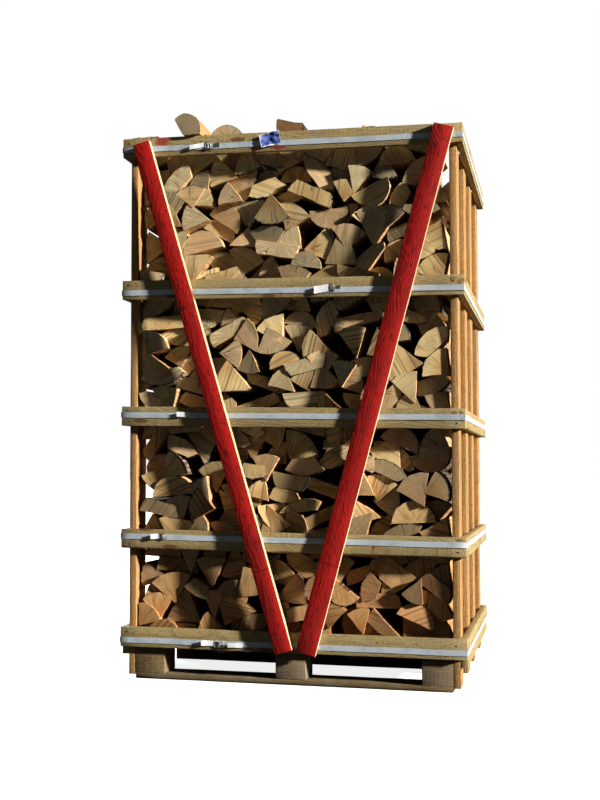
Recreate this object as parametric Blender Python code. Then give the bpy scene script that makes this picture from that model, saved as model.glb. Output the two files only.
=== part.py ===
"""A slatted crate on a block pallet, filled with split oak firewood.

Metres, +Z up. The front, with the two painted braces, faces -Y.
The origin is on the ground, under the middle of the whole crate.
"""
import math
import random

import bmesh
import bpy
from mathutils import Matrix, Vector

# The crate outside its rails
WIDTH = 1.150
DEPTH = 1.070
TOUCH = 0.0003

# Racking: how far the frame leans to the left for each metre of height
LEAN = 0.0134

# Rails, from the lowest level up, and how far each level rises per metre to the right
RAIL_THICKNESS = 0.022
RAIL_HEIGHT = 0.065
RAIL_TOPS = (0.173, 0.495, 0.905, 1.333, 1.823)
RAIL_TILTS = (-0.0005, -0.0046, -0.0046, -0.0016, 0.0058)
LOW_SIDE_RAIL_BOTTOM = 0.080

# Upright slats, four on each side, from the front one back
SLAT_THICKNESS = 0.024
SLAT_WIDTH = 0.100
SLAT_BOTTOM = 0.014
SLAT_TOP = 1.808
SLAT_FRONTS = (-0.512, -0.200, 0.075, 0.410)

# Pallet
SKID_HEIGHT = 0.020
SKID_DEPTH = 0.120
BLOCK_WIDTH = 0.100
BLOCK_HEIGHT = 0.078
STRINGER_HEIGHT = 0.020
DECK_HEIGHT = 0.020
DECK_BOARDS = 4
DECK_BOARD_DEPTH = 0.200

# Straps: how far down each rail they run, from the lowest level up
STRAP_HEIGHT = 0.018
STRAP_THICKNESS = 0.0012
STRAP_DROPS = (0.66, 0.37, 0.44, 0.65, 0.60)

# Painted braces: centre of the foot, centre of the head, width and thickness
BRACES = {
    "brace_left": ((-0.012, 0.113), (-0.503, 1.798), 0.058, 0.026),
    "brace_right": ((0.058, 0.110), (0.517, 1.816), 0.066, 0.020),
}

# Firewood: three tiers of split logs, one behind the other
TIER_NAMES = ("firewood_front", "firewood_middle", "firewood_back")
TIER_SEEDS = (11, 12, 13)
TIER_LENGTH = 0.306
TIER_GAP = 0.012
STACK_HALF_WIDTH = 0.523
STACK_TOP = 1.806
LOG_ROWS = 20
LOG_COLUMNS = 9
LOG_JITTER = 0.30
LOG_WEIGHT = 0.0016
NEIGHBOUR_REACH = 0.300
SPLIT_SHARE = 0.16
SPLIT_SMALLEST = 0.0095
SHORTEST_EDGE = 0.006
END_RIM = 0.005
END_REACH = (0.008, 0.036)
GROOVE = 0.013

# Loose logs on top: the stem's middle across and its front end, its radius, what it lies on,
# and the splits that shaped it, each by the way it faces in degrees and its distance from the middle
LOOSE_LENGTH = 0.310
STEM_SIDES = 24
LOOSE_LOGS = {
    "loose_log_left": ((-0.349, -0.550), 0.052, "rail", ((210, 0.019), (-90, 0.0197))),
    "loose_log_middle": ((-0.2215, -0.498), 0.061, "stack", ((-90, 0.0),)),
    "loose_log_right": ((-0.004, -0.498), 0.058, "stack", ((80, 0.030), (-90, 0.030), (180, 0.043), (0, 0.045))),
}

# Colours and roughness
BARE_PINE = (0.52, 0.37, 0.19)
PALLET_PINE = (0.42, 0.30, 0.17)
RED_PAINT = (0.42, 0.02, 0.016)
STRAP_WHITE = (0.62, 0.67, 0.74)
SPLIT_OAK = (0.47, 0.33, 0.19)
OAK_BARK = (0.16, 0.10, 0.06)

STRAP_STAND_OFF = STRAP_THICKNESS + TOUCH
BRACE_BACK = -DEPTH / 2 - STRAP_STAND_OFF - TOUCH
THICKEST_BRACE = max(thickness for foot, head, width, thickness in BRACES.values())
CRATE_Y = (THICKEST_BRACE + TOUCH) / 2

INNER_HALF_WIDTH = WIDTH / 2 - RAIL_THICKNESS - SLAT_THICKNESS - 2 * TOUCH
BLOCK_BOTTOM = SKID_HEIGHT + TOUCH
STRINGER_BOTTOM = BLOCK_BOTTOM + BLOCK_HEIGHT + TOUCH
DECK_BOTTOM = STRINGER_BOTTOM + STRINGER_HEIGHT + TOUCH
STACK_BOTTOM = DECK_BOTTOM + DECK_HEIGHT + TOUCH
PALLET_HALF_DEPTH = DEPTH / 2 - RAIL_THICKNESS - TOUCH


def strap_middle(level):
    return RAIL_TOPS[level] - STRAP_DROPS[level] * RAIL_HEIGHT


PLUMB_HEIGHT = (strap_middle(0) + strap_middle(len(RAIL_TOPS) - 1)) / 2


def clear_scene():
    for item in list(bpy.data.objects):
        bpy.data.objects.remove(item, do_unlink=True)


def principled(name, colour, roughness):
    material = bpy.data.materials.new(name)
    material.use_nodes = True
    shader = material.node_tree.nodes["Principled BSDF"]
    shader.inputs["Base Color"].default_value = (*colour, 1.0)
    shader.inputs["Roughness"].default_value = roughness
    shader.inputs["Metallic"].default_value = 0.0
    return material


def face_outwards(shape):
    bmesh.ops.recalc_face_normals(shape, faces=shape.faces)
    if shape.calc_volume(signed=True) < 0:
        bmesh.ops.reverse_faces(shape, faces=shape.faces)


def finish(name, shape, centre, material, tilt=0.0):
    """Turn a shape made about its own centre into a placed, racked object."""
    face_outwards(shape)
    for vertex in shape.verts:
        vertex.co.z += tilt * vertex.co.x
        vertex.co.x -= LEAN * vertex.co.z
    mesh = bpy.data.meshes.new(name)
    shape.to_mesh(mesh)
    shape.free()
    mesh.materials.append(material)
    piece = bpy.data.objects.new(name, mesh)
    x, y, z = centre
    z += tilt * x
    piece.location = (x - LEAN * (z - PLUMB_HEIGHT), y + CRATE_Y, z)
    bpy.context.collection.objects.link(piece)


def board(name, low, high, material, tilt=0.0):
    """A sawn board between two opposite corners."""
    low = Vector(low)
    size = Vector(high) - low
    shape = bmesh.new()
    bmesh.ops.create_cube(shape, size=1.0)
    bmesh.ops.scale(shape, verts=shape.verts, vec=size)
    finish(name, shape, low + size / 2, material, tilt)


def make_pallet(wood):
    rows = (
        ("front", -PALLET_HALF_DEPTH),
        ("middle", -SKID_DEPTH / 2),
        ("back", PALLET_HALF_DEPTH - SKID_DEPTH),
    )
    columns = (
        ("left", -INNER_HALF_WIDTH),
        ("middle", -BLOCK_WIDTH / 2),
        ("right", INNER_HALF_WIDTH - BLOCK_WIDTH),
    )
    for row, near in rows:
        far = near + SKID_DEPTH
        board(f"skid_{row}", (-INNER_HALF_WIDTH, near, 0), (INNER_HALF_WIDTH, far, SKID_HEIGHT), wood)
        for column, left in columns:
            top = BLOCK_BOTTOM + BLOCK_HEIGHT
            board(f"block_{row}_{column}", (left, near, BLOCK_BOTTOM), (left + BLOCK_WIDTH, far, top), wood)
    for column, left in columns:
        low = (left, -PALLET_HALF_DEPTH, STRINGER_BOTTOM)
        high = (left + BLOCK_WIDTH, PALLET_HALF_DEPTH, STRINGER_BOTTOM + STRINGER_HEIGHT)
        board(f"stringer_{column}", low, high, wood)
    pitch = (2 * PALLET_HALF_DEPTH - DECK_BOARD_DEPTH) / (DECK_BOARDS - 1)
    for number in range(DECK_BOARDS):
        near = -PALLET_HALF_DEPTH + number * pitch
        low = (-INNER_HALF_WIDTH, near, DECK_BOTTOM)
        high = (INNER_HALF_WIDTH, near + DECK_BOARD_DEPTH, DECK_BOTTOM + DECK_HEIGHT)
        board(f"deck_board_{number + 1}", low, high, wood)


def make_slats(wood):
    for number, near in enumerate(SLAT_FRONTS, start=1):
        for side, direction in (("left", -1), ("right", 1)):
            inner = direction * (INNER_HALF_WIDTH + TOUCH)
            outer = inner + direction * SLAT_THICKNESS
            low = (min(inner, outer), near, SLAT_BOTTOM)
            high = (max(inner, outer), near + SLAT_WIDTH, SLAT_TOP)
            board(f"slat_{side}_{number}", low, high, wood)


def make_rails(wood):
    side_reach = DEPTH / 2 - RAIL_THICKNESS - TOUCH
    for number, (top, tilt) in enumerate(zip(RAIL_TOPS, RAIL_TILTS), start=1):
        bottom = top - RAIL_HEIGHT
        side_bottom = LOW_SIDE_RAIL_BOTTOM if number == 1 else bottom
        for face, outer in (("front", -DEPTH / 2), ("back", DEPTH / 2 - RAIL_THICKNESS)):
            low = (-WIDTH / 2, outer, bottom)
            high = (WIDTH / 2, outer + RAIL_THICKNESS, top)
            board(f"rail_{face}_{number}", low, high, wood, tilt)
        for face, outer in (("left", -WIDTH / 2), ("right", WIDTH / 2 - RAIL_THICKNESS)):
            low = (outer, -side_reach, side_bottom)
            high = (outer + RAIL_THICKNESS, side_reach, top)
            board(f"rail_{face}_{number}", low, high, wood, tilt)


def make_straps(plastic):
    """A flat band round the outside of the rails at each level."""
    for level, tilt in enumerate(RAIL_TILTS):
        shape = bmesh.new()
        bmesh.ops.create_cube(shape, size=1.0)
        size = (WIDTH + 2 * STRAP_STAND_OFF, DEPTH + 2 * STRAP_STAND_OFF, STRAP_HEIGHT)
        bmesh.ops.scale(shape, verts=shape.verts, vec=size)
        shape.normal_update()
        ends = [face for face in shape.faces if abs(face.normal.z) > 0.5]
        bmesh.ops.inset_individual(shape, faces=ends, thickness=STRAP_THICKNESS)
        openings = [edge for face in ends for edge in face.edges]
        bmesh.ops.delete(shape, geom=ends, context="FACES_ONLY")
        bmesh.ops.bridge_loops(shape, edges=openings)
        finish(f"strap_{level + 1}", shape, (0, 0, strap_middle(level)), plastic, tilt)


def make_braces(paint):
    """Boards nailed at a slant over the rails and straps."""
    for name, (foot, head, width, thickness) in BRACES.items():
        run = Vector((head[0] - foot[0], 0, head[1] - foot[1]))
        shape = bmesh.new()
        bmesh.ops.create_cube(shape, size=1.0)
        bmesh.ops.scale(shape, verts=shape.verts, vec=(width, thickness, run.length))
        slant = Matrix.Rotation(math.atan2(run.x, run.z), 3, "Y")
        bmesh.ops.rotate(shape, verts=shape.verts, matrix=slant)
        centre = ((foot[0] + head[0]) / 2, BRACE_BACK - thickness / 2, (foot[1] + head[1]) / 2)
        finish(name, shape, centre, paint)


def log_spots(seed):
    """Where the logs of one tier lie, row by row: x, z and how much room each takes."""
    draw = random.Random(seed)
    step_z = (STACK_TOP - STACK_BOTTOM) / LOG_ROWS
    spots = []
    for row in range(LOG_ROWS):
        count = LOG_COLUMNS + row % 2
        step_x = 2 * STACK_HALF_WIDTH / count
        for column in range(count):
            x = -STACK_HALF_WIDTH + (column + 0.5 + draw.uniform(-LOG_JITTER, LOG_JITTER)) * step_x
            z = STACK_BOTTOM + (row + 0.5 + draw.uniform(-LOG_JITTER, LOG_JITTER)) * step_z
            spots.append((Vector((x, 0, z)), draw.uniform(0, LOG_WEIGHT)))
    return spots, draw


def log_ends(seed):
    """One tier seen from the front: a flat net of faces, one for each log end."""
    spots, draw = log_spots(seed)
    height = STACK_TOP - STACK_BOTTOM
    middle = Vector((0, 0, STACK_BOTTOM + height / 2))
    upright = Matrix.Rotation(math.radians(90), 4, "X")
    net = bmesh.new()
    for spot, weight in spots:
        cell = bmesh.new()
        bmesh.ops.create_grid(cell, x_segments=1, y_segments=1, size=0.5, matrix=upright)
        bmesh.ops.scale(cell, verts=cell.verts, vec=(2 * STACK_HALF_WIDTH, 1, height))
        bmesh.ops.translate(cell, verts=cell.verts, vec=middle)
        for other, other_weight in spots:
            away = other - spot
            if 0 < away.length < NEIGHBOUR_REACH:
                share = 0.5 + (weight - other_weight) / (2 * away.length_squared)
                everything = cell.verts[:] + cell.edges[:] + cell.faces[:]
                bmesh.ops.bisect_plane(
                    cell, geom=everything, plane_co=spot + away * share, plane_no=away, clear_outer=True
                )
        for face in cell.faces:
            net.faces.new([net.verts.new(vertex.co) for vertex in face.verts])
        cell.free()
    bmesh.ops.remove_doubles(net, verts=net.verts, dist=SHORTEST_EDGE)
    split_large_ends(net, draw)
    net.normal_update()
    return net, draw


def split_large_ends(net, draw):
    """Cut some of the larger ends in two, as a log is when it is split again."""
    for face in list(net.faces):
        if face.calc_area() > SPLIT_SMALLEST and draw.random() < SPLIT_SHARE:
            angle = draw.uniform(0, math.pi)
            across = Vector((math.cos(angle), 0, math.sin(angle)))
            geometry = [face] + face.edges[:] + face.verts[:]
            bmesh.ops.bisect_plane(net, geom=geometry, plane_co=face.calc_center_median(), plane_no=across)


def round_outline(net, draw):
    """Draw the stack's outline in between neighbouring logs, but not where it lies on the deck."""
    outline = [edge for edge in net.edges if edge.is_boundary]
    middles = set(bmesh.ops.subdivide_edges(net, edges=outline, cuts=1)["geom_inner"])
    corners = [vertex for vertex in net.verts if vertex.is_boundary and vertex not in middles]
    for vertex in corners:
        depth = GROOVE * draw.uniform(0.7, 1.3)
        on_side = STACK_HALF_WIDTH - abs(vertex.co.x) < 1e-4
        on_top = STACK_TOP - vertex.co.z < 1e-4
        if on_side and vertex.co.z > STACK_BOTTOM + 1e-4:
            vertex.co.x -= math.copysign(depth, vertex.co.x)
        if on_top:
            vertex.co.z -= depth


def make_tier(name, seed, near, front_ends, back_ends, wood):
    """A tier of logs lying front to back, fused, with each log's end standing out by its own amount."""
    net, draw = log_ends(seed)
    round_outline(net, draw)
    if not (front_ends or back_ends):
        bmesh.ops.dissolve_faces(net, faces=net.faces[:])
    ends = net.faces[:]
    outline = [edge for edge in net.edges if edge.is_boundary]
    walls = bmesh.ops.extrude_edge_only(net, edges=outline)["geom"]
    far_points = [item for item in walls if isinstance(item, bmesh.types.BMVert)]
    far_edges = [item for item in walls if isinstance(item, bmesh.types.BMEdge) and item.is_boundary]
    bmesh.ops.translate(net, verts=far_points, vec=(0, TIER_LENGTH, 0))
    bmesh.ops.edgeloop_fill(net, edges=far_edges)
    if front_ends or back_ends:
        bmesh.ops.inset_individual(net, faces=ends, thickness=END_RIM)
        for face in ends:
            reach = draw.uniform(*END_REACH)
            bmesh.ops.translate(net, verts=face.verts, vec=(0, -reach, 0))
    if back_ends:
        bmesh.ops.rotate(net, verts=net.verts, matrix=Matrix.Rotation(math.pi, 3, "Z"))
        bmesh.ops.translate(net, verts=net.verts, vec=(0, TIER_LENGTH, 0))
    half = STACK_TOP / 2
    bmesh.ops.translate(net, verts=net.verts, vec=(0, 0, -half))
    finish(name, net, (0, near, half), wood)


def make_firewood(wood):
    near = -1.5 * TIER_LENGTH - TIER_GAP
    for number, (name, seed) in enumerate(zip(TIER_NAMES, TIER_SEEDS)):
        make_tier(name, seed, near, number == 0, number == len(TIER_NAMES) - 1, wood)
        near += TIER_LENGTH + TIER_GAP


def make_loose_logs(woods):
    """Round stems split into the single logs that lie on the stack or across the top rail."""
    rests = {"rail": RAIL_TOPS[-1] + TOUCH, "stack": STACK_TOP + TOUCH}
    upright = Matrix.Rotation(math.radians(90), 4, "X")
    for name, ((across, front), radius, rest, splits) in LOOSE_LOGS.items():
        shape = bmesh.new()
        bmesh.ops.create_circle(shape, cap_ends=True, segments=STEM_SIDES, radius=radius, matrix=upright)
        for facing, distance in splits:
            angle = math.radians(facing)
            outward = Vector((math.cos(angle), 0, math.sin(angle)))
            everything = shape.verts[:] + shape.edges[:] + shape.faces[:]
            bmesh.ops.bisect_plane(
                shape, geom=everything, plane_co=outward * distance, plane_no=outward, clear_outer=True
            )
        grown = bmesh.ops.extrude_face_region(shape, geom=shape.faces[:])["geom"]
        far = [item for item in grown if isinstance(item, bmesh.types.BMVert)]
        bmesh.ops.translate(shape, verts=far, vec=(0, LOOSE_LENGTH, 0))
        lowest = min(vertex.co.z for vertex in shape.verts)
        finish(name, shape, (across, front, rests[rest] - lowest), woods[name])


def main():
    clear_scene()
    bare = principled("bare_pine", BARE_PINE, 0.75)
    pallet_wood = principled("pallet_pine", PALLET_PINE, 0.8)
    paint = principled("red_paint", RED_PAINT, 0.6)
    plastic = principled("strap_plastic", STRAP_WHITE, 0.35)
    oak = principled("split_oak", SPLIT_OAK, 0.85)
    bark = principled("oak_bark", OAK_BARK, 0.9)
    make_pallet(pallet_wood)
    make_slats(bare)
    make_rails(bare)
    make_straps(plastic)
    make_braces(paint)
    make_firewood(oak)
    make_loose_logs({"loose_log_left": oak, "loose_log_middle": oak, "loose_log_right": bark})


main()
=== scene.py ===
"""The looks of a strapped pallet crate of split oak firewood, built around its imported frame."""
import math
import random

import bmesh
import bpy
import numpy as np
from mathutils import Matrix, Vector, noise


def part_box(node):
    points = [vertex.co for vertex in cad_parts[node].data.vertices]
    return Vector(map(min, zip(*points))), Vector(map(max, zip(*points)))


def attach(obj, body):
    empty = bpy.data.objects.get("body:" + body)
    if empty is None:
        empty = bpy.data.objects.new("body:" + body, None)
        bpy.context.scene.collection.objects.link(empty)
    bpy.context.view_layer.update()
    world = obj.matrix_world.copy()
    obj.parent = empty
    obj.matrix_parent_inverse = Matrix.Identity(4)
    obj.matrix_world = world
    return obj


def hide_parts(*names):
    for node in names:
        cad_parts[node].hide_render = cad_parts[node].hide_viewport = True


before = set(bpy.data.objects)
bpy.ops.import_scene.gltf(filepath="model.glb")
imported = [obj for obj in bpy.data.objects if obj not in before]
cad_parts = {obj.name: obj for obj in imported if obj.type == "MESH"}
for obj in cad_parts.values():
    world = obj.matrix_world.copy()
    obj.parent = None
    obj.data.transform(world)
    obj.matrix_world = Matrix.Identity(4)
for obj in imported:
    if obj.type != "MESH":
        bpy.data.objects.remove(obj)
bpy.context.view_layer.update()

# The crate, as it was built
LEAN = 0.0134
PLUMB_HEIGHT = 0.957
CRATE_Y = 0.01315
WIDTH = 1.150
DEPTH = 1.070
RAIL_TOPS = (0.173, 0.495, 0.905, 1.333, 1.823)
RAIL_TILTS = (-0.0005, -0.0046, -0.0046, -0.0016, 0.0058)
RAIL_HEIGHT = 0.065
STRAP_HEIGHT = 0.018
STRAP_THICKNESS = 0.0012
STRAP_DROPS = (0.66, 0.37, 0.44, 0.65, 0.60)
TOUCH = 0.0003

# The stack of logs
TIER_SEEDS = {"firewood_front": 51, "firewood_middle": 12, "firewood_back": 13}
TIER_LENGTH = 0.306
TIER_GAP = 0.012
TIER_NEAR = -0.471
STACK_HALF_WIDTH = 0.523
STACK_BOTTOM = 0.1392
STACK_TOP = 1.806
STACK_FILL = 0.905
STEM_SIDES = 20
SETTLE_STEPS = 450
SETTLE_START = 0.62
SETTLE_PULL = (-0.00004, -0.00005)
END_REACHES = (0.034, 0.032, 0.027, 0.020, 0.010, -0.002, -0.014)
BARKED_SHARE = 0.4

# Logs near a brace, by how far their middles are to its left: from, to, and how far they stand out
BRACE_BANDS = {
    "brace_left": ((-0.110, 0.000, 0.033), (0.000, 0.110, -0.014), (0.110, 0.270, 0.032)),
    "brace_right": ((-0.060, 0.045, 0.033), (0.045, 0.100, 0.004), (0.100, 0.270, 0.032)),
}

# Logs just under a rail are pushed back by it: how far down that goes, and how far they stand out at most
RAIL_SHADE = 0.085
PUSHED_REACH = 0.006

# Lower logs are darker: their colour is darkened and made more orange towards the bottom
LOW_DARKENING_HEIGHTS = (0.15, 0.95)

# Loose logs on top: the stem's middle across and its front end, its radius, what it lies on,
# and the splits that shaped it, each by the way it faces in degrees and its distance from the middle
LOOSE_LENGTH = 0.310
LOOSE_LOGS = {
    "loose_log_left": ((-0.349, -0.550), 0.052, "rail", ((210, 0.019), (-90, 0.0197))),
    "loose_log_middle": ((-0.2215, -0.498), 0.061, "stack", ((-90, 0.0),)),
    "loose_log_right": ((-0.004, -0.498), 0.058, "stack", ((80, 0.030), (-90, 0.030), (180, 0.043), (0, 0.045))),
}

# Camera, from the corners of the crate in the photograph
CAMERA_PLACE = (0.877, -4.532, 0.707)
CAMERA_HEADING = 11.804
CAMERA_PITCH = 3.1025
CAMERA_ROLL = 0.630
CAMERA_LENS = 56.47

# Light: a low key from the right and a little in front, a broad fill from behind on the left, a faint sky
LIGHTS = {
    "key": ((3.7, -1.0, 1.25), 12.5, 3.0, (1.0, 0.95, 0.87)),
    "fill": ((-2.0, 3.0, 1.6), 5.0, 35.0, (0.93, 0.96, 1.0)),
}
SKY_POWER = 0.06
FLOOR_GLOW = 0.85
FLOOR_BOUNCE = (0.045, 0.045, 0.045)

# Marks on boards seen from the front: across and up from the board's middle, half their width
# and height, and 1 for red paint or 0 for a knot, a stain or a crack
MARK_COUNT = 3
MARKS = {
    "rail_front_5": ((-0.435, 0.018, 0.027, 0.018, 1), (-0.030, -0.018, 0.030, 0.012, 1)),
    "rail_front_4": ((0.538, 0.019, 0.010, 0.009, 0), (0.560, 0.010, 0.009, 0.008, 0)),
    "rail_front_3": ((0.540, 0.018, 0.012, 0.008, 0), (0.562, 0.020, 0.009, 0.006, 0)),
    "rail_front_2": ((0.278, -0.006, 0.006, 0.007, 1), (0.552, 0.024, 0.014, 0.006, 0),
                     (-0.384, 0.011, 0.009, 0.004, 0)),
    "rail_front_1": ((0.288, 0.011, 0.004, 0.004, 0),),
    "block_front_left": ((-0.010, 0.004, 0.016, 0.010, 0),),
    "brace_left": ((-0.004, -0.207, 0.008, 0.014, 0), (-0.016, 0.293, 0.012, 0.008, 0),
                   (0.0, -0.607, 0.034, 0.0030, 0)),
    "brace_right": ((0.006, -0.585, 0.040, 0.0030, 0), (-0.008, 0.812, 0.007, 0.010, 0),
                    (0.010, 0.180, 0.006, 0.012, 0)),
}

# What is left of fastening each strap, from the lowest up: where a tail starts and ends across the
# crate, how far above the strap's middle it starts and ends, how wide it is, and which end lifts
TAILS = {
    "strap_1": ((-0.292, -0.254, 0.0, 0.0, 0.017, -1), (-0.203, -0.153, -0.004, -0.003, 0.015, -1)),
    "strap_2": ((-0.468, -0.440, 0.001, 0.003, 0.017, -1),),
    "strap_3": ((-0.378, -0.337, 0.003, 0.003, 0.016, -1),),
    "strap_4": ((0.088, 0.141, -0.002, 0.007, 0.024, -1), (0.153, 0.176, 0.008, 0.007, 0.013, 1)),
    "strap_5": ((-0.338, -0.284, -0.003, 0.006, 0.015, -1), (-0.266, -0.232, 0.001, 0.0, 0.016, 1)),
}
TAIL_LIFT = 0.007
TAIL_THICKNESS = 0.0008

# Wire buckles: the strap, the middle across and above the strap's middle, width and height
BUCKLES = {
    "strap_1": (-0.234, -0.004, 0.034, 0.019),
    "strap_2": (-0.427, 0.003, 0.028, 0.020),
    "strap_4": (0.1465, 0.008, 0.014, 0.022),
    "strap_5": (-0.275, 0.002, 0.021, 0.024),
}
WIRE = 0.0032

# Blue film caught under the top strap: its middle across and below the rail's top, its size and slant
FILM_PLACE = (-0.060, 0.026)
FILM_SIZE = (0.068, 0.044)
FILM_SLANT = 12

# Chips and slivers of wood that lie on the top rail: where across, and how long
CHIPS = ((-0.532, 0.030), (-0.514, 0.022), (-0.500, 0.034), (-0.478, 0.026), (-0.462, 0.020), (0.262, 0.030),
         (0.281, 0.020))
CHIP_THICKNESS = 0.006

# Nails
NAIL_RADIUS = 0.0034
NAIL_DEPTH = 0.004
NAIL_PROUD = 0.0006


def out_of_plumb(point):
    """Where a point of the upright crate is once the frame leans."""
    return Vector((point[0] - LEAN * (point[2] - PLUMB_HEIGHT), point[1] + CRATE_Y, point[2]))


# Node trees

class Tree:
    """Short ways to add nodes to a tree and join them."""

    def __init__(self, nodes, links):
        self.nodes = nodes
        self.links = links

    def add(self, kind, inputs=None, **settings):
        node = self.nodes.new(kind)
        for key, value in settings.items():
            setattr(node, key, value)
        for key, value in (inputs or {}).items():
            self.feed(node.inputs[key], value)
        return node

    def feed(self, socket, value):
        if isinstance(value, bpy.types.NodeSocket):
            self.links.new(value, socket)
        elif isinstance(value, tuple) and len(value) == 3 and socket.type == "RGBA":
            socket.default_value = (*value, 1.0)
        else:
            socket.default_value = value

    def math(self, operation, first, second=0.0, third=0.0, clamp=False):
        inputs = {0: first, 1: second, 2: third}
        return self.add("ShaderNodeMath", inputs, operation=operation, use_clamp=clamp).outputs[0]

    def vector(self, operation, first, second=(0.0, 0.0, 0.0)):
        return self.add("ShaderNodeVectorMath", {0: first, 1: second}, operation=operation).outputs[0]

    def ramp(self, value, low, high, start=0.0, end=1.0):
        """A smooth step: start below low, end above high."""
        inputs = {"Value": value, "From Min": low, "From Max": high, "To Min": start, "To Max": end}
        node = self.add("ShaderNodeMapRange", inputs, interpolation_type="SMOOTHSTEP")
        return node.outputs["Result"]

    def noise(self, vector, scale, detail=2.0, w=None, roughness=0.5):
        inputs = {"Vector": vector, "Scale": scale, "Detail": detail, "Roughness": roughness}
        dimensions = "3D"
        if w is not None:
            inputs["W"] = w
            dimensions = "4D"
        return self.add("ShaderNodeTexNoise", inputs, noise_dimensions=dimensions).outputs["Fac"]

    def mix(self, amount, first, second, blend="MIX"):
        inputs = {"Factor": amount, "A": first, "B": second}
        node = self.nodes.new("ShaderNodeMix")
        node.data_type = "RGBA"
        node.blend_type = blend
        self.feed(node.inputs[0], inputs["Factor"])
        self.feed(node.inputs[6], inputs["A"])
        self.feed(node.inputs[7], inputs["B"])
        return node.outputs[2]

    def combine(self, x, y, z):
        return self.add("ShaderNodeCombineXYZ", {0: x, 1: y, 2: z}).outputs[0]

    def separate(self, vector):
        return self.add("ShaderNodeSeparateXYZ", {0: vector}).outputs


def new_group(name, inputs, outputs):
    """An empty node group with its sockets; returns the group, its tree and its inputs."""
    group = bpy.data.node_groups.new(name, "ShaderNodeTree")
    for label, (kind, value) in inputs.items():
        socket = group.interface.new_socket(label, in_out="INPUT", socket_type=kind)
        if value is not None:
            socket.default_value = value
    for label, kind in outputs.items():
        group.interface.new_socket(label, in_out="OUTPUT", socket_type=kind)
    tree = Tree(group.nodes, group.links)
    start = tree.add("NodeGroupInput")
    end = tree.add("NodeGroupOutput")
    return group, tree, start.outputs, end.inputs


COLOUR = "NodeSocketColor"
FLOAT = "NodeSocketFloat"
VECTOR = "NodeSocketVector"


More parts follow.
